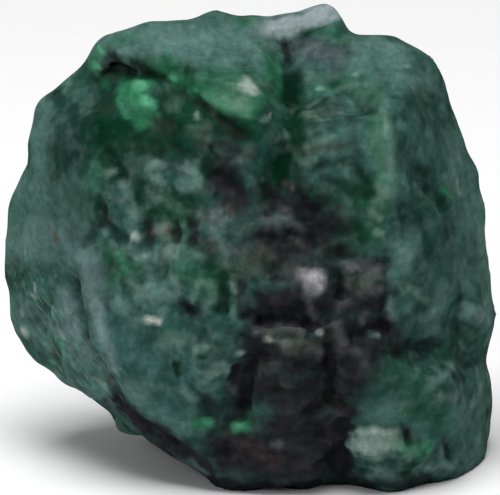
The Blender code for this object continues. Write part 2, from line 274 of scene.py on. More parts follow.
KNOBBLY_STROKES = (
    (((130, 165), (200, 160)), 34, 0.9), (((130, 220), (210, 230)), 40, 1.0),
    (((140, 290), (210, 290)), 40, 0.8), (((160, 345), (220, 350)), 34, 0.5),
    (((190, 390), (220, 395)), 24, 0.4), (((320, 120), (330, 170)), 24, 0.6),
    (((370, 200), (385, 225)), 14, 0.6), (((430, 370), (470, 390)), 26, 0.5),
    (((366, 462), (440, 466)), 20, 0.9),
)
KNOBBLY_BEHIND = (
    (((180, 220), (220, 280)), 40, 1.0), (((360, 130), (400, 200)), 36, 0.8),
    (((380, 380), (430, 400)), 34, 0.8),
)
RIBBED_STROKES = (
    (((384, 96), (388, 190)), 18, 1.0),
)
SCALED_STROKES = (
    (((30, 310), (60, 335), (96, 385)), 30, 1.0), (((104, 400), (116, 426)), 9, 0.7),
    (((24, 250), (30, 290)), 24, 0.5), (((30, 120), (40, 200)), 30, 0.3),
    (((64, 270), (74, 310)), 20, 0.5),
)
POCKET_STROKES = (
    (((98, 72), (110, 69), (126, 68)), 9, 1.0), (((256, 320), (282, 318), (304, 322)), 6, 0.4),
    (((188, 306), (195, 312)), 8, 0.6), (((176, 363), (179, 372)), 7, 0.6),
    (((118, 230), (124, 240)), 9, 0.7),
)
MICA_EDGE = 0.5
mica = np.maximum(covered(MICA_STROKES, "front", MICA_EDGE), covered(MICA_BEHIND, "back", MICA_EDGE))
knobbly = np.maximum(covered(KNOBBLY_STROKES), covered(KNOBBLY_BEHIND, "back"))
ribbed = covered(RIBBED_STROKES)
scaled = covered(SCALED_STROKES)

# Relief by zone: long soft swells everywhere, knobs of harder beryl, upright ribs, slanting scales on the
# left flank, and ledges of split mica. Heights and sizes are in millimetres, and the whole skin is first
# raised by what melting and chipping take away.
SKIN_RAISED = 0.10
POCKET_FILLING, POCKET_SOFTNESS = 60, 1.2
SCALES_NOT_PLAIN = 0.8
SWELL_HEIGHT, SWELL_SIZE, PLAIN_SWELL = 0.11, 2.4, 0.5
WAVE_HEIGHT, WAVE_SIZE, WAVE_EVERYWHERE, WAVE_IN_ZONES = 0.05, 1.1, 0.2, 0.8
KNOB_HEIGHT, KNOB_SIZE, KNOB_GRAIN_HEIGHT, KNOB_GRAIN_SIZE = 0.22, 1.15, 0.07, 0.6
RIB_HEIGHT, RIB_WIDTH, RIB_COURSE = 0.07, 0.55, (0.08, 0.0, 1.0)
SCALE_HEIGHT, SCALE_WIDTH, SCALE_COURSE = 0.15, 0.60, (1.0, 0.0, -1.05)
LEDGE_HEIGHT, LEDGE_WIDTH, LEDGE_COURSE = 0.075, 1.1, (1.0, 0.2, 0.15)
LEDGES_IN_SWELL, LEDGE_TREAD = 4.0, 0.62
CRUMB_HEIGHT, CRUMB_SIZE = 0.05, 0.5
PLAIN_GRAIN_HEIGHT, PLAIN_GRAIN_SIZE = 0.010, 0.55
points, normals = read_skin(), read_skin("normal")
plain = 1.0 - np.maximum(np.maximum(mica, knobbly), SCALES_NOT_PLAIN * scaled)
turned = normals @ away
pockets = covered(POCKET_STROKES, softness=POCKET_SOFTNESS)
points += (smoothed(points, POCKET_FILLING) - points) * pockets[:, None]
height = SKIN_RAISED + SWELL_HEIGHT * cloud(points, SWELL_SIZE, 31) * (1.0 - PLAIN_SWELL * plain)
waviness = WAVE_EVERYWHERE + WAVE_IN_ZONES * knobbly + WAVE_IN_ZONES * mica
height += WAVE_HEIGHT * cloud(points, WAVE_SIZE, 32) * waviness
knobs = KNOB_HEIGHT * np.maximum(cloud(points, KNOB_SIZE, 33), 0.0)
height += knobbly * (knobs + KNOB_GRAIN_HEIGHT * cloud(points, KNOB_GRAIN_SIZE, 34))
height += ribbed * RIB_HEIGHT * streaks(points, RIB_COURSE, RIB_WIDTH, 35)
height += scaled * SCALE_HEIGHT * streaks(points, SCALE_COURSE, SCALE_WIDTH, 36)
split = streaks(points, LEDGE_COURSE, LEDGE_WIDTH, 37) * LEDGES_IN_SWELL
ledges = np.floor(split) + soft_step(split - np.floor(split), LEDGE_TREAD, 1.0)
height += mica * (LEDGE_HEIGHT * ledges + CRUMB_HEIGHT * cloud(points, CRUMB_SIZE, 38))
height += plain * PLAIN_GRAIN_HEIGHT * cloud(points, PLAIN_GRAIN_SIZE, 39)
move_skin(points + normals * (height * MM)[:, None])

# Small breaks: beryl has no good cleavage, so its corners chip into little flat or shell-shaped faces
# that catch the light one by one. The plain faces on the pictured side are worn smooth again.
CHIP_SIZES = ((200, 1.4, 3.2, 0.10), (600, 0.5, 1.3, 0.04))
CHIP_TILT, CHIP_RIM, DEEPEST_CHIP = 0.13, 0.3, 0.3 * MM
CHIP_WEAR, WORN_EVERYWHERE, WORN_ON_PLAIN = 9, 0.10, 0.85
FACING_AWAY, FACING_VIEWER = -0.45, -0.15
chance = np.random.default_rng(11)
seen_side = soft_step(turned, FACING_AWAY, FACING_VIEWER)
for count, smallest, largest, depth in CHIP_SIZES:
    points, normals = read_skin(), read_skin("normal")
    neighbours = kdtree.KDTree(len(points))
    for index, place in enumerate(points):
        neighbours.insert(place, index)
    neighbours.balance()
    for index in chance.choice(len(points), count, replace=False):
        radius = chance.uniform(smallest, largest) * MM
        near = np.array([found[1] for found in neighbours.find_range(points[index], radius)])
        outward = normals[near].mean(axis=0) + chance.normal(0.0, CHIP_TILT, 3)
        outward /= np.linalg.norm(outward)
        distance = np.linalg.norm(points[near] - points[index], axis=1)
        above = np.clip((points[near] - points[index]) @ outward + depth * MM, 0.0, DEEPEST_CHIP)
        hold = np.clip((1.0 - distance / radius) / CHIP_RIM, 0.0, 1.0)
        points[near] -= outward * (above * hold)[:, None]
    worn = smoothed(points, CHIP_WEAR)
    wear = WORN_EVERYWHERE + WORN_ON_PLAIN * plain * seen_side
    move_skin(points + (worn - points) * wear[:, None])

# Furrows, ledges, flakes and pits that the photograph shows: the places each runs through, its half width
# in picture squares and its height in millimetres. Below zero is carved, above zero is raised.
FURROWS = (
    # The cap, the pocket and window under it, and the valley beside it
    (((126, 62), (150, 69), (172, 82)), 3, -0.12), (((196, 98), (222, 118), (240, 132)), 4, -0.20),
    (((262, 58), (270, 78), (262, 104)), 6, 0.14), (((98, 72), (108, 70), (122, 68)), 7, 0.20),
    (((288, 46), (288, 62)), 7, -0.30), (((290, 70), (290, 130), (284, 186)), 7, -0.22),
    (((122, 84), (124, 104), (134, 122)), 4, -0.18), (((140, 86), (148, 104)), 10, 0.22),
    # The right block: groove, recess, arch, bands, ridge and flank
    (((332, 82), (345, 90), (365, 105), (377, 118)), 7, -0.12), (((305, 32), (325, 22)), 4, -0.20),
    (((302, 40), (344, 36)), 6, -0.20),
    (((304, 176), (322, 168), (340, 162), (356, 166), (364, 182)), 5, -0.15),
    (((300, 162), (322, 156), (342, 153), (364, 162)), 5, 0.16),
    (((300, 148), (330, 142), (352, 136)), 5, 0.14), (((304, 132), (330, 126), (350, 118)), 5, 0.12),
    (((386, 110), (388, 150), (388, 186)), 12, 0.08), (((399, 116), (400, 150), (402, 196)), 5, -0.16),
    (((410, 162), (420, 172)), 6, -0.10), (((420, 174), (434, 190), (446, 204)), 9, 0.12),
    (((426, 200), (436, 230)), 8, 0.12),
    # Knobs and pits of the left front
    (((152, 170), (158, 182), (160, 196)), 11, 0.22), (((186, 184), (202, 186)), 11, 0.20),
    (((124, 184), (126, 196)), 6, 0.20), (((134, 234), (136, 240)), 5, 0.20),
    (((154, 230), (170, 228)), 6, 0.16), (((193, 226), (195, 240)), 7, -0.28),
    (((110, 152), (118, 166), (126, 180)), 6, -0.20), (((104, 208), (98, 222), (92, 238)), 8, -0.16),
    (((220, 150), (236, 154)), 9, -0.22), (((218, 178), (240, 190)), 10, -0.20),
    # The pale rib and the flank left of it
    (((88, 262), (92, 300), (100, 336), (110, 366)), 8, 0.22),
    (((72, 276), (82, 314), (92, 344), (104, 372), (122, 400), (148, 424), (172, 442)), 6, -0.28),
    (((24, 330), (28, 335)), 5, 0.14), (((44, 296), (56, 318)), 4, 0.12),
    (((60, 340), (68, 358)), 4, 0.12),
    # Ledges, slabs and slits of the mica
    (((262, 224), (276, 219), (290, 222), (300, 236)), 7, 0.16),
    (((264, 237), (276, 239), (290, 237)), 7, -0.22), (((309, 278), (317, 282)), 12, 0.22),
    (((352, 268), (374, 274), (362, 292)), 12, 0.22), (((384, 256), (386, 300), (386, 340)), 5, -0.22),
    (((334, 274), (340, 292)), 7, -0.34), (((254, 330), (276, 327), (300, 332)), 6, 0.12),
    (((268, 334), (284, 336), (298, 336)), 3, -0.14),
    (((264, 337), (276, 343), (292, 344), (306, 338), (322, 332)), 4, 0.16),
    (((341, 334), (342, 348)), 6, 0.20), (((306, 292), (312, 306), (314, 318)), 4, 0.18),
    (((352, 330), (384, 328)), 8, -0.14), (((356, 354), (364, 356)), 6, 0.16),
    (((330, 344), (329, 372), (327, 400)), 5, -0.32), (((250, 362), (249, 384), (246, 408)), 7, -0.40),
    (((236, 368), (226, 392), (224, 412)), 5, -0.22),
    # The foot and the low right block
    (((342, 424), (340, 444), (338, 468)), 7, -0.28), (((236, 430), (246, 428)), 7, 0.18),
    (((196, 424), (210, 421)), 7, 0.18), (((198, 352), (206, 348)), 6, 0.22),
    (((208, 372), (224, 366)), 9, 0.26), (((350, 428), (362, 424), (400, 429)), 4, -0.20),
    (((408, 432), (409, 442)), 5, -0.30), (((447, 440), (449, 458)), 4, -0.28),
    (((360, 472), (390, 476), (420, 470)), 4, -0.20), (((430, 384), (442, 374), (452, 366)), 5, 0.07),
    (((402, 345), (440, 345)), 7, -0.24), (((463, 302), (460, 322), (464, 342)), 7, -0.18),
    (((468, 316), (480, 318)), 10, 0.18), (((132, 414), (160, 436), (190, 452)), 4, -0.16),
    (((186, 380), (196, 400)), 6, 0.14), (((225, 280), (224, 308)), 6, -0.22),
)
FURROWS_BEHIND = (
    (((150, 120), (190, 180), (200, 260), (180, 330)), 7, -0.30),
    (((200, 230), (260, 250), (330, 240)), 6, -0.26), (((240, 150), (300, 158), (350, 190)), 7, 0.24),
    (((300, 300), (330, 310), (352, 300)), 6, 0.22), (((290, 330), (320, 342)), 6, 0.22),
    (((240, 300), (244, 312)), 8, -0.40), (((380, 240), (386, 252)), 7, -0.36),
    (((110, 200), (120, 250), (118, 300)), 8, 0.24),
)
points, normals = read_skin(), read_skin("normal")
height = np.zeros(len(points))
for side, furrows in (("front", FURROWS), ("back", FURROWS_BEHIND)):
    for places, half_width, mark_height in furrows:
        distance = stroke_distance(places, half_width, side)
        height += soft_step(FURROW_REACH - distance, 0.0, FURROW_SLOPE) * mark_height
points += normals * (height * MM)[:, None]

# The stone stays inside the box of its solid, which gives its size, and keeps the flat face that it
# rests on.
REST_BAND = 0.20 * MM
low, high = (np.array(corner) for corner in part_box("emerald"))
points[:, 2] = np.where(points[:, 2] < REST_BAND, low[2], points[:, 2])
move_skin(np.clip(points, low, high))

# How far each point stands out of the skin around it or lies in a hollow, at two widths, and how much of
# each counts on plain faces. Raised places get painted light and hollows get painted shade.
CURVE_WIDTHS = ((3, 0.030 * MM, 0.04), (30, 0.15 * MM, 0.26))
ROUGH_SHARE, MOST_STANDING = 0.5, 1.5
points, normals = read_skin(), read_skin("normal")
standing = np.zeros(len(points))
for rounds, scale, plain_share in CURVE_WIDTHS:
    swell = np.einsum("ij,ij->i", points - smoothed(points, rounds), normals)
    counted = ROUGH_SHARE + (plain_share - ROUGH_SHARE) * plain
    standing += np.clip(swell / scale, -MOST_STANDING, MOST_STANDING) * counted


# Colour of the skin, built up as the mineral itself is: a cloudy body of blue-green beryl first, then its
# greyer, greener and darker zones, and last the small bright and dark grains. Painted light and shade is
# laid in among them: painted shadow under the cap and in clefts, painted sheen, highlights and glints, a
# painted glow in the clear beryl, and raised places painted lighter and hollows darker. Colours are as
# seen, 0 to 255, and each stroke has its places, half width and strength.
def colour(red, green, blue):
    """A seen colour turned to light amounts, by the curve of a common screen."""
    parts = np.array((red, green, blue)) / 255
    return np.where(parts < 0.04045, parts / 12.92, ((parts + 0.055) / 1.055) ** 2.4)


BEHIND = "behind"
UNFROSTED = ("deep green", "brown shadow", "mica", "pale plate", "glassy green and painted glow")
UNMOTTLED = ("pale plate", "glassy green and painted glow", "knob painted highlight", "painted highlight", "pale rib")
SOFT_EDGED = (
    "pale rib", "frosted knobs", "painted highlight", "knob painted highlight", "grey flakes and glints", "painted turquoise glint", "tan grey",
    "pale cap",
)
SOFT_EDGE, PLAIN_EDGE = 1.3, 1.0
COLOUR_STROKES = (
    ("smoky teal", (54, 90, 86), (
        (((160, 30), (180, 52)), 12, 0.4), (((60, 200), (70, 250)), 16, 0.5),
        (((30, 210), (60, 240), (50, 270)), 34, 0.7), (((120, 340), (150, 370), (176, 390)), 34, 0.8),
        (((130, 300), (150, 320)), 26, 0.6), (((400, 380), (450, 410)), 34, 0.5),
        (((410, 120), (430, 200)), 26, 0.4), (((430, 250), (420, 320)), 30, 0.6),
        (((396, 250), (392, 320)), 16, 0.4), (((440, 440), (470, 420)), 24, 0.6),
        (((400, 300), (392, 330)), 12, 0.5),
    )),
    ("dark teal", (24, 52, 48), (
        (((148, 28), (140, 48)), 7, 0.3), (((202, 24), (196, 50)), 7, 0.3),
        (((226, 14), (230, 40)), 6, 0.3), (((372, 46), (392, 50)), 5, 0.3),
        (((410, 60), (420, 78)), 7, 0.35), (((56, 176), (44, 214)), 12, 0.35),
        (((430, 225), (440, 290)), 18, 0.4), (((420, 230), (416, 300)), 10, 0.4),
        (((54, 110), (72, 150)), 20, 0.3), (((410, 320), (446, 322)), 9, 0.4),
        (((36, 240), (30, 262)), 9, 0.3), (((60, 112), (84, 150)), 24, 0.7),
        (((430, 110), (440, 160)), 20, 0.25), (((456, 230), (466, 280)), 12, 0.15),
        (((120, 150), (200, 150)), 26, 0.8), (((110, 200), (116, 240)), 16, 0.5),
        (((390, 385), (440, 380)), 14, 0.5), (((420, 470), (460, 466)), 10, 0.4),
        (((418, 170), (436, 194)), 12, 0.8), (((384, 480), (440, 480)), 8, 0.6),
        (((180, 200), (170, 215)), 16, 0.4), (((330, 195), (345, 220)), 16, 0.7),
        (((250, 270), (246, 250)), 14, 0.6), (((200, 330), (236, 340)), 20, 0.6),
        (((40, 264), (64, 290)), 14, 0.4), (((416, 222), (424, 250)), 12, 0.6),
        (((310, 120), (345, 110)), 20, 0.4), (((410, 380), (430, 400)), 22, 0.4),
        (((440, 330), (410, 350)), 18, 0.6), (((240, 215), (250, 235)), 14, 0.5),
        (((230, 330), (244, 350)), 12, 0.7),
    )),
    # Grey skin of the beryl, partly a painted sheen on the upward faces of the cap and the right block
    ("grey skin", (78, 110, 104), (
        (((110, 44), (180, 36), (245, 36)), 26, 0.9), (((150, 52), (215, 58), (262, 50)), 18, 0.7),
        (((350, 54), (400, 54)), 24, 0.9), (((380, 78), (420, 84)), 16, 0.6),
        (((44, 104), (40, 160)), 12, 0.6), (((24, 190), (50, 200)), 24, 0.5),
        (((20, 240), (60, 240)), 30, 0.75), (((74, 190), (80, 250)), 18, 0.5),
        (((30, 320), (70, 340), (100, 390)), 24, 0.7), (((40, 380), (60, 370)), 14, 0.5),
        (((410, 235), (400, 280)), 16, 0.6), (((446, 290), (432, 330)), 13, 0.5),
        (((478, 200), (490, 300)), 12, 0.7), (((452, 140), (466, 230), (470, 280)), 18, 0.6),
        (((170, 255), (150, 280)), 26, 0.5), (((130, 390), (150, 408), (180, 428)), 12, 0.6),
        (((440, 470), (470, 455), (482, 430)), 14, 0.5),
        (((452, 424), (480, 400), (484, 370)), 14, 0.4), (((380, 412), (402, 408)), 14, 0.6),
    )),
    ("pale rib", (98, 119, 120), (
        (((86, 258), (94, 290)), 18, 0.75), (((96, 300), (103, 336), (112, 370)), 9, 0.9),
        (((40, 236), (60, 246)), 22, 0.4), (((62, 296), (84, 350)), 12, 0.6),
        (((100, 370), (110, 384)), 7, 0.4),
    )),
    # Green of the ridge, partly painted light on its lit left face
    ("ridge green and painted light", (82, 116, 101), (
        (((378, 104), (384, 150), (386, 195)), 13, 0.6), (((352, 100), (366, 96)), 9, 0.4),
    )),
    ("recess grey", (58, 74, 75), (
        (((298, 48), (338, 50), (330, 66)), 16, 0.9), (((300, 66), (312, 80)), 12, 0.6),
    )),
    ("grey skin behind", (70, 106, 101), (
        (((180, 80), (260, 90), (340, 90)), 34, 0.8), (((100, 220), (110, 300)), 30, 0.7),
        (((390, 160), (400, 200)), 26, 0.7), (((210, 220), (240, 260)), 28, 0.5),
        (((430, 350), (460, 400)), 26, 0.6),
    )),
    ("dark teal behind", (24, 52, 48), (
        (((150, 120), (190, 180), (200, 260), (180, 330)), 18, 0.7),
        (((330, 150), (350, 190)), 20, 0.6), (((60, 180), (80, 240)), 20, 0.5),
        (((340, 410), (400, 430)), 26, 0.6),
    )),
    # The thin pale plate, its paleness partly painted light passing through it from behind
    ("pale plate", (132, 144, 147), (
        (((266, 26), (300, 20), (334, 10)), 14, 1.0), (((280, 33), (296, 29)), 8, 0.7),
    )),
    ("plate shade", (98, 116, 116), (
        (((258, 20), (276, 14)), 6, 0.5), (((326, 24), (338, 8)), 7, 0.5),
        (((300, 32), (316, 24)), 5, 0.4),
    )),
    ("green beryl", (35, 87, 63), (
        (((160, 66), (205, 90), (250, 112)), 18, 0.9), (((270, 60), (274, 96)), 13, 0.9),
        (((210, 78), (250, 84)), 18, 0.7), (((372, 110), (378, 180)), 8, 0.5),
        (((320, 84), (372, 90)), 14, 0.5), (((316, 30), (344, 38)), 9, 0.6),
        (((115, 40), (130, 38)), 9, 0.6), (((236, 22), (262, 24)), 9, 0.6),
        (((160, 205), (190, 215)), 20, 0.5), (((96, 150), (100, 190)), 12, 0.6),
        (((110, 280), (135, 270)), 14, 0.4), (((345, 240), (356, 254)), 10, 0.7),
        (((390, 365), (430, 400)), 24, 0.35), (((414, 412), (440, 416)), 12, 0.5),
        (((190, 270), (210, 285)), 16, 0.5), (((104, 250), (124, 262)), 10, 0.4),
        (((366, 200), (380, 206)), 12, 0.4),
    )),
    # Deep green beryl, partly painted shade in the grooves, pits and clefts and under the cap's lip
    ("deep green", (4, 45, 30), (
        (((284, 66), (288, 60)), 6, 0.7), (((290, 80), (291, 140), (280, 178)), 15, 1.0),
        (((104, 90), (106, 140)), 16, 0.75), (((104, 132), (170, 130)), 26, 1.0),
        (((216, 122), (256, 136)), 12, 0.9), (((112, 148), (176, 148)), 13, 0.8),
        (((164, 108), (186, 118)), 12, 0.7), (((262, 128), (268, 170)), 9, 0.6),
        (((294, 100), (292, 176)), 14, 0.5), (((158, 90), (186, 106), (204, 124)), 16, 0.75),
        (((116, 140), (196, 138)), 20, 0.7), (((120, 160), (146, 160)), 12, 0.6),
        (((104, 156), (120, 176)), 9, 0.8), (((138, 174), (140, 198)), 7, 0.8),
        (((210, 176), (206, 170)), 9, 0.9), (((224, 274), (223, 308)), 9, 0.9),
        (((334, 84), (350, 94), (372, 112)), 6, 0.7), (((362, 174), (368, 196)), 7, 0.8),
        (((188, 68), (190, 80)), 8, 0.75), (((300, 96), (298, 166)), 9, 0.7),
        (((216, 246), (212, 264)), 8, 0.7), (((250, 342), (252, 358)), 8, 0.9),
        (((425, 236), (432, 256)), 7, 0.7), (((452, 376), (462, 378)), 6, 0.8),
        (((268, 186), (262, 202)), 8, 0.8), (((94, 226), (86, 246)), 6, 0.5),
        (((316, 206), (336, 226)), 10, 0.7), (((176, 362), (178, 372)), 6, 0.95),
        (((364, 428), (364, 444)), 4, 0.7), (((440, 202), (444, 208)), 7, 0.8),
        (((122, 282), (126, 276)), 6, 0.4), (((258, 126), (256, 152)), 10, 0.7),
        (((418, 308), (424, 312)), 7, 0.6), (((360, 214), (356, 226)), 7, 0.7),
        (((160, 84), (190, 100), (216, 118)), 7, 0.6), (((70, 108), (76, 124)), 8, 0.5),
        (((150, 146), (176, 144)), 14, 0.5), (((330, 182), (352, 188)), 10, 0.6),
        (((146, 222), (150, 246)), 6, 0.6), (((120, 206), (200, 204)), 12, 0.35),
        (((210, 150), (214, 200)), 10, 0.5), (((176, 206), (200, 216)), 8, 0.5),
        (((232, 236), (240, 230)), 7, 0.5), (((305, 34), (314, 28), (326, 26)), 4, 0.6),
        (((266, 170), (268, 184)), 7, 0.6),
    )),
    ("deep green behind", (12, 38, 26), (
        (((200, 140), (220, 190)), 24, 0.8), (((370, 260), (380, 320)), 20, 0.7),
        (((160, 280), (180, 340)), 20, 0.6), (((280, 130), (300, 150)), 18, 0.6),
    )),
    ("pale cap", (84, 122, 102), (
        (((214, 98), (246, 106)), 11, 0.7), (((232, 88), (254, 93)), 10, 0.55),
    )),
    ("brown shadow", (34, 34, 30), (
        (((104, 70), (112, 66), (124, 66)), 10, 1.0), (((108, 54), (113, 60)), 7, 0.9),
        (((128, 61), (152, 70), (172, 82), (196, 99), (222, 120)), 4, 0.6),
        (((226, 124), (238, 134)), 9, 0.6), (((150, 120), (166, 126)), 11, 0.5),
        (((268, 192), (284, 206)), 10, 0.8), (((172, 231), (178, 235)), 5, 0.8),
        (((340, 212), (348, 224)), 8, 0.6), (((148, 222), (150, 240)), 6, 0.6),
        (((200, 238), (206, 250)), 7, 0.6), (((90, 153), (91, 155)), 3, 0.8),
        (((104, 108), (114, 106)), 6, 0.4), (((330, 210), (322, 196)), 8, 0.5),
        (((252, 258), (262, 252)), 8, 0.4), (((350, 118), (354, 150)), 6, 0.4),
        (((306, 128), (340, 126)), 5, 0.3), (((308, 106), (340, 102)), 7, 0.3),
    )),
    ("mica", (27, 30, 33), (
        (((268, 244), (320, 240)), 24, 0.95), (((296, 206), (324, 228)), 18, 0.95),
        (((282, 262), (345, 258)), 20, 0.8), (((268, 302), (320, 302), (378, 304)), 20, 1.0),
        (((260, 324), (320, 326), (388, 330)), 18, 1.0),
        (((262, 352), (300, 360), (370, 348)), 28, 1.0),
        (((264, 386), (300, 396), (350, 380)), 30, 1.0), (((240, 372), (236, 410)), 12, 1.0),
        (((232, 452), (280, 462), (330, 456)), 32, 1.0),
        (((280, 424), (336, 430), (340, 476)), 22, 1.0), (((224, 170), (236, 200)), 20, 0.95),
        (((224, 146), (240, 156)), 9, 0.75), (((193, 224), (195, 244)), 6, 0.8),
        (((186, 304), (194, 313)), 7, 0.95), (((240, 286), (246, 312)), 10, 0.8),
        (((106, 210), (102, 224)), 6, 0.8), (((390, 318), (396, 352)), 9, 0.9),
        (((366, 370), (350, 380)), 12, 0.8), (((330, 400), (350, 414)), 12, 1.0),
        (((285, 44), (287, 58)), 5, 0.9), (((402, 346), (440, 344)), 7, 0.35),
        (((356, 484), (430, 484)), 7, 0.85),
        (((116, 399), (128, 412), (156, 434), (184, 452), (206, 470)), 12, 1.0),
        (((208, 402), (214, 416)), 9, 0.7), (((462, 302), (460, 334)), 4, 0.4),
        (((408, 432), (409, 442)), 5, 0.9), (((280, 198), (268, 214)), 9, 0.8),
        (((446, 440), (449, 458)), 4, 0.8), (((118, 402), (126, 412)), 6, 0.7),
        (((236, 196), (256, 216)), 10, 0.5), (((386, 262), (386, 300)), 4, 0.7),
        (((250, 196), (262, 180)), 8, 0.4), (((146, 437), (166, 450), (190, 470), (206, 484)), 8, 1.0),
        (((204, 476), (226, 486), (270, 489), (322, 485)), 9, 1.0),
        (((344, 266), (378, 268), (376, 294)), 15, 0.8),
    )),
    ("mica behind", (27, 28, 32), (
        (((250, 300), (320, 330), (360, 350)), 32, 1.0), (((300, 200), (330, 240)), 20, 0.8),
        (((140, 160), (150, 200)), 14, 0.7), (((420, 250), (430, 300)), 14, 0.7),
        (((200, 410), (260, 420)), 24, 0.9),
    )),
    # Dark mica, partly painted shade in the slits and clefts of the mica
    ("navy mica", (15, 18, 26), (
        (((296, 194), (314, 208)), 9, 0.9), (((256, 320), (282, 318), (308, 322)), 6, 0.95),
        (((350, 330), (384, 326)), 9, 0.7), (((250, 364), (247, 404)), 7, 0.95),
        (((332, 344), (330, 384)), 8, 0.9), (((336, 276), (342, 292)), 8, 0.95),
        (((188, 305), (193, 312)), 5, 0.9), (((258, 336), (262, 352)), 9, 0.8),
        (((284, 304), (300, 310)), 9, 0.6), (((264, 236), (290, 236)), 8, 0.8),
        (((300, 214), (310, 232)), 9, 0.7), (((374, 316), (384, 326)), 8, 0.6),
        (((318, 300), (322, 312)), 6, 0.6),
    )),
    ("violet mica", (46, 43, 50), (
        (((214, 182), (242, 194)), 9, 0.8), (((280, 256), (302, 250)), 12, 0.5),
        (((290, 412), (340, 416)), 16, 0.5), (((266, 306), (282, 298)), 12, 0.4),
        (((192, 228), (195, 238)), 5, 0.5), (((340, 360), (356, 374)), 12, 0.5),
        (((236, 440), (300, 446)), 20, 0.5), (((246, 464), (316, 464)), 16, 0.5),
        (((330, 440), (338, 460)), 12, 0.4),
    )),
    # Grey mica flakes, partly painted glints on the mica
    ("grey flakes and glints", (84, 84, 86), (
        (((264, 226), (280, 219), (294, 226)), 9, 0.55), (((270, 266), (296, 276)), 14, 0.5),
        (((350, 268), (374, 270)), 9, 0.75), (((352, 284), (374, 290)), 10, 0.75),
        (((254, 331), (276, 327), (300, 332)), 5, 0.6), (((306, 292), (314, 316)), 5, 0.5),
        (((336, 328), (341, 346)), 7, 0.45), (((302, 276), (320, 286)), 15, 0.6),
        (((284, 342), (316, 352)), 9, 0.5), (((262, 374), (274, 366)), 8, 0.35),
        (((286, 184), (292, 188)), 5, 0.8), (((280, 206), (288, 212)), 6, 0.5),
        (((352, 352), (364, 358)), 8, 0.5), (((294, 238), (300, 246)), 6, 0.5),
        (((336, 308), (346, 300)), 8, 0.35), (((216, 244), (238, 252)), 12, 0.5),
        (((202, 218), (224, 212)), 12, 0.5), (((300, 47), (340, 58)), 10, 0.3),
        (((234, 390), (228, 386)), 5, 0.5), (((364, 314), (362, 322)), 5, 0.4),
        (((290, 392), (286, 384)), 8, 0.25), (((250, 150), (244, 156)), 7, 0.4),
        (((240, 230), (246, 226)), 8, 0.4), (((226, 262), (236, 270)), 8, 0.35),
    )),
    ("tan grey", (76, 82, 71), (
        (((262, 254), (248, 270)), 14, 0.5), (((306, 150), (342, 146)), 8, 0.45),
        (((308, 118), (340, 112)), 7, 0.35), (((170, 240), (166, 256)), 10, 0.45),
        (((352, 278), (368, 280)), 9, 0.4), (((204, 130), (208, 142)), 11, 0.45),
        (((268, 334), (300, 342)), 6, 0.5), (((220, 220), (214, 234)), 9, 0.35),
        (((288, 346), (312, 348)), 8, 0.4),
    )),
    # Pale frost on the knobs, partly painted glints at small bright points
    ("frosted knobs", (110, 137, 128), (
        (((154, 166), (160, 182), (159, 196)), 10, 0.45), (((186, 184), (206, 187)), 10, 0.42),
        (((124, 183), (125, 199)), 7, 0.5), (((108, 173), (112, 172)), 5, 0.55),
        (((106, 194), (110, 194)), 5, 0.45), (((134, 206), (133, 214)), 5, 0.45),
        (((138, 258), (146, 256)), 6, 0.8), (((168, 255), (175, 249)), 8, 0.55),
        (((114, 248), (122, 252)), 6, 0.5), (((132, 286), (134, 294)), 6, 0.55),
        (((150, 284), (148, 290)), 5, 0.5), (((146, 298), (156, 300)), 6, 0.5),
        (((194, 290), (196, 298)), 6, 0.3), (((206, 303), (216, 299)), 7, 0.4),
        (((172, 276), (180, 290)), 5, 0.45), (((198, 350), (206, 348)), 6, 0.65),
        (((208, 373), (224, 366)), 7, 0.55), (((238, 354), (242, 353)), 4, 0.8),
        (((197, 115), (198, 118)), 4, 0.7), (((264, 121), (267, 116)), 4, 0.7),
        (((304, 162), (314, 160)), 5, 0.45), (((322, 140), (332, 136)), 6, 0.3),
        (((372, 212), (378, 218)), 6, 0.65), (((376, 232), (382, 234)), 5, 0.55),
        (((380, 186), (388, 194)), 6, 0.5), (((412, 290), (424, 300)), 6, 0.65),
        (((422, 319), (432, 313)), 6, 0.55), (((468, 312), (488, 320)), 10, 0.5),
        (((438, 396), (454, 398)), 6, 0.55), (((432, 384), (444, 374), (452, 366)), 5, 0.35),
        (((458, 183), (462, 193)), 5, 0.7), (((406, 66), (408, 66)), 3, 0.9),
        (((354, 75), (356, 75)), 3, 0.8), (((318, 88), (322, 88)), 4, 0.9),
        (((370, 334), (378, 335)), 4, 0.4), (((462, 342), (464, 348)), 4, 0.5),
        (((232, 284), (236, 292)), 4, 0.5), (((160, 345), (176, 340)), 10, 0.3),
        (((185, 388), (194, 400)), 6, 0.5), (((428, 470), (450, 470)), 6, 0.5),
        (((372, 470), (384, 474)), 4, 0.4), (((190, 462), (206, 476)), 4, 0.35),
        (((26, 246), (36, 250)), 8, 0.3), (((354, 432), (396, 432)), 6, 1.0),
        (((357, 444), (398, 444)), 10, 0.9), (((353, 434), (355, 456)), 4, 0.8),
        (((362, 456), (392, 456)), 6, 0.4), (((356, 438), (396, 438)), 7, 0.9),
        (((384, 120), (385, 136)), 4, 0.35), (((390, 152), (391, 172)), 4, 0.3),
        (((284, 132), (288, 136)), 4, 0.35), (((262, 40), (276, 50)), 6, 0.3),
        (((168, 104), (172, 110)), 6, 0.35), (((400, 262), (404, 250)), 9, 0.35),
        (((340, 88), (356, 84)), 6, 0.3), (((396, 318), (392, 300)), 6, 0.3),
    )),
    # A painted highlight on the grey knob in the mica
    ("knob painted highlight", (160, 155, 159), (
        (((312, 277), (317, 282)), 11, 0.9), (((302, 273), (306, 279)), 8, 0.45),
        (((320, 272), (323, 280)), 6, 0.35),
    )),
    # Painted highlights: pale spots on small faces, on the front and on the far side
    ("painted highlight", (180, 187, 183), (
        (((246, 86), (250, 90)), 10, 0.65), (((134, 236), (135, 238)), 6, 0.6),
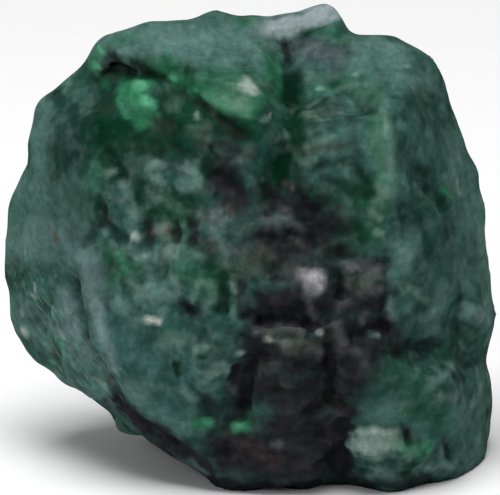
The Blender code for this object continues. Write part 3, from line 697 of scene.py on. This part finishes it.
        (((148, 320), (158, 321)), 5, 1.0), (((357, 432), (394, 432)), 5, 0.25),
        (((360, 446), (394, 446)), 8, 0.25), (((372, 431), (378, 431)), 3, 0.5),
        (((25, 331), (27, 334)), 6, 0.6), (((21, 310), (22, 314)), 4, 0.3),
        (((32, 294), (36, 298)), 2, 0.4), (((58, 326), (66, 338)), 2, 0.4),
        (((94, 378), (106, 388)), 2, 0.2), (((34, 284), (36, 290)), 2, 0.4),
        (((318, 333), (322, 334)), 3, 0.4), (((267, 338), (271, 340)), 3, 0.3),
        (((270, 114), (268, 118)), 2, 0.5), (((273, 442), (280, 442)), 5, 0.18),
    )),
    ("painted highlight behind", (170, 182, 178), (
        (((330, 306), (340, 310)), 6, 0.6), (((120, 240), (121, 244)), 5, 0.6),
        (((260, 92), (270, 94)), 6, 0.5), (((300, 236), (306, 238)), 5, 0.5),
        (((200, 250), (206, 256)), 6, 0.4),
    )),
    # Clear green beryl, its brightness partly a painted glow of light passing through the clear crystal
    ("glassy green and painted glow", (42, 106, 74), (
        (((126, 78), (148, 80)), 9, 0.8), (((130, 90), (146, 104)), 15, 0.95),
        (((134, 112), (142, 122)), 10, 0.7), (((120, 82), (119, 100), (127, 116)), 4, 0.8),
        (((93, 66), (101, 49)), 7, 0.6), (((266, 98), (256, 106)), 9, 0.4),
        (((188, 88), (194, 94)), 5, 0.8), (((206, 92), (222, 110)), 6, 0.5),
        (((118, 254), (126, 268)), 10, 0.3), (((446, 190), (452, 198)), 5, 0.6),
        (((104, 84), (108, 88)), 5, 0.4), (((404, 448), (430, 446)), 9, 0.35),
        (((236, 430), (246, 427)), 7, 0.9), (((194, 424), (210, 422)), 6, 0.7),
        (((164, 72), (184, 84)), 7, 0.4), (((276, 60), (279, 96)), 5, 0.4),
    )),
    ("glassy green and painted glow behind", (36, 118, 82), (
        (((216, 160), (220, 172)), 9, 0.7), (((372, 282), (376, 290)), 6, 0.7),
        (((170, 318), (174, 322)), 6, 0.6),
    )),
    # Painted glints: small bright blue-green spots where light catches the clear beryl
    ("painted turquoise glint", (86, 158, 124), (
        (((136, 83), (142, 87)), 7, 0.7), (((145, 101), (152, 105)), 7, 0.85),
        (((99, 47), (103, 53)), 3, 0.8), (((95, 62), (97, 70)), 3, 0.6),
        (((171, 76), (173, 77)), 4, 0.65), (((45, 296), (48, 303)), 2.5, 0.6),
        (((51, 309), (55, 317)), 2.5, 0.5), (((47, 306), (49, 311)), 1.5, 0.4),
        (((62, 341), (66, 348)), 2.5, 0.6), (((66, 350), (67, 357)), 2, 0.5),
        (((51, 361), (56, 363)), 2.5, 0.5), (((77, 344), (80, 350)), 1.5, 0.5),
        (((94, 386), (98, 388)), 1.5, 0.5), (((60, 336), (58, 340)), 1.5, 0.5),
        (((205, 420), (210, 421)), 4, 0.4), (((318, 87), (321, 88)), 3, 0.5),
        (((121, 256), (124, 262)), 7, 0.35), (((236, 430), (243, 428)), 4, 0.6),
        (((400, 446), (424, 450)), 10, 0.22), (((376, 408), (404, 414)), 12, 0.12),
    )),
    ("rust", (98, 64, 64), (
        (((155, 231), (168, 228)), 5, 0.5), (((53, 233), (56, 239)), 4, 0.5),
        (((252, 446), (274, 459)), 9, 0.2), (((108, 378), (108, 384)), 3, 0.4),
        (((230, 208), (234, 210)), 4, 0.15), (((262, 206), (264, 216)), 6, 0.15),
    )),
    ("rust behind", (98, 64, 64), (
        (((262, 372), (270, 376)), 8, 0.3), (((400, 230), (404, 232)), 5, 0.3),
    )),
)
TEAL = colour(40, 75, 68)
BODY_CLOUDS = (
    (colour(57, 92, 86), 3.4, 41, -0.1, 0.6, 1.0), (colour(28, 69, 53), 2.6, 42, 0.0, 0.6, 0.8),
    (colour(19, 46, 39), 1.5, 43, 0.1, 0.7, 0.7),
)
FROST_EVERYWHERE, FROST_ON_KNOBS = 0.35, 0.65
PLAIN_CALM, STROKE_CALM = 0.75, 0.7
# How strongly raised places are painted lighter and hollows painted darker
RIDGE_PAINTED_LIGHT, HOLLOW_PAINTED_SHADE = 0.20, 0.45


def blend(tint, new_colour, amount):
    """The colours drawn towards a new one, as fully as the amounts say."""
    return tint + (new_colour - tint) * amount[:, None]


frost = FROST_EVERYWHERE + FROST_ON_KNOBS * knobbly
mottled = 1.0 - PLAIN_CALM * plain
calm = np.ones(len(points))
tint = np.tile(TEAL, (len(points), 1))
for body_colour, size, seed, low_edge, high_edge, strength in BODY_CLOUDS:
    tint = blend(tint, body_colour, soft_step(cloud(points, size, seed), low_edge, high_edge) * strength)
for name, seen_colour, strokes in COLOUR_STROKES:
    side = "back" if name.endswith(BEHIND) else "front"
    cover = covered(strokes, side, SOFT_EDGE if name in SOFT_EDGED else PLAIN_EDGE)
    tint = blend(tint, colour(*seen_colour), cover)
    if name.startswith(UNFROSTED):
        frost *= 1.0 - cover
    if name.startswith(UNMOTTLED):
        mottled *= 1.0 - STROKE_CALM * cover
        calm *= 1.0 - STROKE_CALM * cover
# Painted light on raised places and painted shade in hollows, laid into the colour
relief_painted_light_and_shade = np.where(standing > 0.0, RIDGE_PAINTED_LIGHT, HOLLOW_PAINTED_SHADE) * np.clip(standing, -1.0, 1.0)
tint *= (1.0 + relief_painted_light_and_shade)[:, None]
opaque_tint = np.column_stack((tint, np.ones(len(points))))
tint_layer = stone.data.attributes.new("tint", "FLOAT_COLOR", "POINT")
tint_layer.data.foreach_set("color", opaque_tint.astype(np.float32).ravel())


def keep_attribute(name, values):
    """Keeps one number for each point of the skin, for the material to read."""
    attribute = stone.data.attributes.new(name, "FLOAT", "POINT")
    attribute.data.foreach_set("value", values.astype(np.float32))


keep_attribute("mica", mica)
keep_attribute("frost", frost)
keep_attribute("mottled", mottled)
keep_attribute("plain", plain * calm)
keep_attribute("scaled", scaled)

# Beryl's surface: the built-up colour is mottled by patterns in the stone's own coordinates and frosted
# with fine pale grains, which are partly painted glints. It is dull on the plain faces, and a little less
# rough where a grain is glassy.
beryl = bpy.data.materials.new("cloudy_beryl")
beryl.use_nodes = True
nodes, links = beryl.node_tree.nodes, beryl.node_tree.links
shader = nodes["Principled BSDF"]
place = nodes.new("ShaderNodeTexCoord").outputs["Object"]


def node_value(socket, value):
    """Sets a socket from a number, a colour or another node's output."""
    if isinstance(value, bpy.types.NodeSocket):
        links.new(value, socket)
    else:
        socket.default_value = value


def grain(size, detail=2.0, roughness=0.5, where=place):
    """Noise with lumps of this size in millimetres, from 0 to 1."""
    pattern = nodes.new("ShaderNodeTexNoise")
    pattern.inputs["Scale"].default_value = 1.0 / (size * MM)
    pattern.inputs["Detail"].default_value = detail
    pattern.inputs["Roughness"].default_value = roughness
    links.new(where, pattern.inputs["Vector"])
    return pattern.outputs["Fac"]


def between(value, low, high, to_low=0.0, to_high=1.0):
    """The value spread smoothly from one range to another, and held at its ends."""
    spread = nodes.new("ShaderNodeMapRange")
    spread.interpolation_type = "SMOOTHSTEP"
    node_value(spread.inputs["Value"], value)
    spread.inputs["From Min"].default_value = low
    spread.inputs["From Max"].default_value = high
    spread.inputs["To Min"].default_value = to_low
    spread.inputs["To Max"].default_value = to_high
    return spread.outputs["Result"]


def combined(operation, first, second):
    """Two amounts multiplied or added, held between 0 and 1."""
    maths = nodes.new("ShaderNodeMath")
    maths.operation = operation
    maths.use_clamp = True
    node_value(maths.inputs[0], first)
    node_value(maths.inputs[1], second)
    return maths.outputs[0]


def mixed(amount, first, second, way="MIX"):
    """The second colour laid over the first, as fully as the amount says."""
    mix = nodes.new("ShaderNodeMix")
    mix.data_type = "RGBA"
    mix.blend_type = way
    node_value(mix.inputs["Factor"], amount)
    node_value(mix.inputs[6], first)
    node_value(mix.inputs[7], second)
    return mix.outputs[2]


def stored(name, output="Fac"):
    """What the skin keeps under this name."""
    reader = nodes.new("ShaderNodeAttribute")
    reader.attribute_name = name
    return reader.outputs[output]


def paint(red, green, blue):
    """A seen colour as a socket takes it."""
    return tuple(colour(red, green, blue)) + (1.0,)


DEPTH_OF_GRAIN = 0.4
STRIATION_TURN, STRIATION_STRETCH = math.radians(46.0), (6.0, 3.0, 1.0)
longer = nodes.new("ShaderNodeMapping")
longer.inputs["Scale"].default_value = (1.0, DEPTH_OF_GRAIN, 1.0)
links.new(place, longer.inputs["Vector"])
along_grain = longer.outputs["Vector"]
striated = nodes.new("ShaderNodeMapping")
striated.vector_type = "TEXTURE"
striated.inputs["Rotation"].default_value = (0.0, STRIATION_TURN, 0.0)
striated.inputs["Scale"].default_value = STRIATION_STRETCH
links.new(place, striated.inputs["Vector"])
across_flank = striated.outputs["Vector"]

DARKENING, LIGHTENING = (0.42, 0.52, 0.47, 1.0), (2.0, 1.8, 1.85, 1.0)
HAZE_AND_SHEEN, PALE_SCALE = paint(112, 140, 132), paint(108, 134, 128)
FROST_AND_GLINT, FLAKE_AND_GLINT = paint(122, 152, 143), paint(66, 64, 68)
MOTTLES = ((1.6, 1.0, 0.8), (0.8, 1.5, 0.7))


def shaded(colours, amount, shade=DARKENING):
    """The colours made darker or lighter by a shade, as fully as the amount says."""
    return mixed(amount, colours, mixed(1.0, colours, shade, "MULTIPLY"))


def within(zone, amount):
    """The amount as far as a point belongs to this zone of the skin."""
    return combined("MULTIPLY", amount, stored(zone))


body = stored("tint", "Color")
# Smoky patches and a pale haze inside the plain faces, the haze partly a painted sheen
smoke = between(grain(2.4, 2.5, 0.55, along_grain), 0.38, 0.70, to_high=0.85)
body = shaded(body, within("plain", smoke))
haze = between(grain(1.7, 2.0, 0.5, along_grain), 0.52, 0.74, to_high=0.18)
body = mixed(within("plain", haze), body, HAZE_AND_SHEEN)
# A fine dark and pale speckle all over
speckle = grain(0.42, 3.0, 0.6, along_grain)
body = shaded(body, between(speckle, 0.30, 0.50, to_low=0.36, to_high=0.0))
body = shaded(body, between(speckle, 0.50, 0.72, to_high=0.34), LIGHTENING)
# Dark pits between the knobs, and moss-like mottling of the rough zones
pits = between(grain(0.75), 0.55, 0.68, to_high=0.55)
body = shaded(body, within("frost", pits))
for size, detail, strength in MOTTLES:
    spots = between(grain(size, detail, 0.5, along_grain), 0.41, 0.76, to_high=strength)
    body = shaded(body, within("mottled", spots))
# Pale scales and dark hollows that slant across the left flank
scales = between(grain(0.30, 1.5, 0.5, across_flank), 0.50, 0.80, to_high=0.6)
body = mixed(within("scaled", scales), body, PALE_SCALE)
hollows = between(grain(0.42, 1.5, 0.5, across_flank), 0.48, 0.80, to_high=0.6)
body = shaded(body, within("scaled", hollows))
# Pale frost on rubbed grains, partly painted glints, and grey flakes in the mica, partly painted glints
frosting_and_glints = between(grain(1.2, 1.5), 0.42, 0.82, to_high=0.42)
body = mixed(within("frost", frosting_and_glints), body, FROST_AND_GLINT)
flakes = between(grain(0.7), 0.50, 0.80, to_high=0.20)
body = mixed(within("mica", flakes), body, FLAKE_AND_GLINT)
links.new(body, shader.inputs["Base Color"])

GLASSY_GRAIN, ROUGH_GRAIN, PLAIN_DULLNESS = 0.52, 0.72, 0.32
BERYL_IOR, FROSTED_SHINE = 1.58, 0.05
glossy_grains = between(grain(0.8), 0.30, 0.70, GLASSY_GRAIN, ROUGH_GRAIN)
dullness = combined("MULTIPLY", stored("plain"), PLAIN_DULLNESS)
links.new(combined("ADD", glossy_grains, dullness), shader.inputs["Roughness"])
shader.inputs["IOR"].default_value = BERYL_IOR
shader.inputs["Specular IOR Level"].default_value = FROSTED_SHINE

BUMP_STRENGTH, BUMP_DEPTH, BUMP_GRAIN = 0.25, 0.05 * MM, 0.28
relief = nodes.new("ShaderNodeBump")
relief.inputs["Strength"].default_value = BUMP_STRENGTH
relief.inputs["Distance"].default_value = BUMP_DEPTH
links.new(grain(BUMP_GRAIN, 3.0, 0.6), relief.inputs["Height"])
links.new(relief.outputs["Normal"], shader.inputs["Normal"])

stone.data.materials.append(beryl)
bpy.ops.object.select_all(action="DESELECT")
stone.select_set(True)
bpy.context.view_layer.objects.active = stone
bpy.ops.object.shade_smooth()
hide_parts("emerald")
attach(stone, "root")

# Floor: a plain pale sheet of matt paper that lies under the stone. It runs on behind it, so far that its
# edge stays out of the picture.
FLOOR_SIDE = 3.0
PAPER_COLOUR, PAPER_ROUGHNESS, PAPER_SHINE = (0.86, 0.86, 0.86, 1.0), 0.9, 0.1
bpy.ops.mesh.primitive_plane_add(size=FLOOR_SIDE, location=(0.0, 0.0, 0.0))
floor = bpy.context.active_object
floor.name = "floor"
paper = bpy.data.materials.new("pale_floor")
paper.use_nodes = True
sheet = paper.node_tree.nodes["Principled BSDF"]
sheet.inputs["Base Color"].default_value = PAPER_COLOUR
sheet.inputs["Roughness"].default_value = PAPER_ROUGHNESS
sheet.inputs["Specular IOR Level"].default_value = PAPER_SHINE
floor.data.materials.append(paper)

# Light: a wide soft lamp above and a little in front, a weaker one from the viewer's left, and pale air
# that fills the shadows. Each lamp has its place, side length and power.
LAMPS = (
    ("overhead", (-0.04, -0.08, 0.60), 0.45, 4.2),
    ("front_left", (-0.45, -0.55, 0.35), 0.35, 1.0),
)
for name, location, side_length, power in LAMPS:
    bpy.ops.object.light_add(type="AREA", location=location)
    lamp = bpy.context.active_object
    lamp.name = name
    lamp.data.size = side_length
    lamp.data.energy = power
    lamp.rotation_euler = (Vector(location) - aim).to_track_quat("Z", "Y").to_euler()
AIR_COLOUR, AIR_STRENGTH = (1.0, 1.0, 1.0, 1.0), 0.235
world = bpy.data.worlds.new("pale_air")
bpy.context.scene.world = world
world.use_nodes = True
air = world.node_tree.nodes["Background"]
air.inputs["Color"].default_value = AIR_COLOUR
air.inputs["Strength"].default_value = AIR_STRENGTH
bpy.context.scene.view_settings.view_transform = "Standard"
